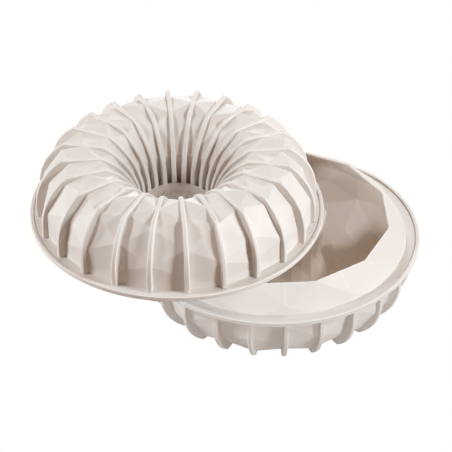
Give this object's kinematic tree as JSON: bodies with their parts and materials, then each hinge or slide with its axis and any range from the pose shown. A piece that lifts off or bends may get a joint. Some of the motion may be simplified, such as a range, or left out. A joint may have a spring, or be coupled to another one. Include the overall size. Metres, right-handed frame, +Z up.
{
  "type": "silicone cake mould",
  "caption": "Ring-shaped silicone cake mould with faceted walls, radial ribs, a beaded round flange and a closed centre cone, stacked lip to lip with its upturned twin.",
  "frame": {"origin": "centre of the pair's bounding box, on the plane that the lower mould's ribs stand on", "axes": "+Z up; +X to the right along the way the upper mould is set off; +Y away from the viewer"},
  "size_m": [0.321, 0.2621, 0.1543],
  "materials": {
    "silicone": "matt warm greige silicone"
  },
  "bodies": {
    "lower": {"lower_mould": "silicone"},
    "upper": {"upper_mould": "silicone"}
  },
  "joints": [
    {"name": "lift_off", "type": "slide", "parent": "lower", "child": "upper", "axis": [0, 0, 1], "range_m": [0, 0.15]}
  ]
}
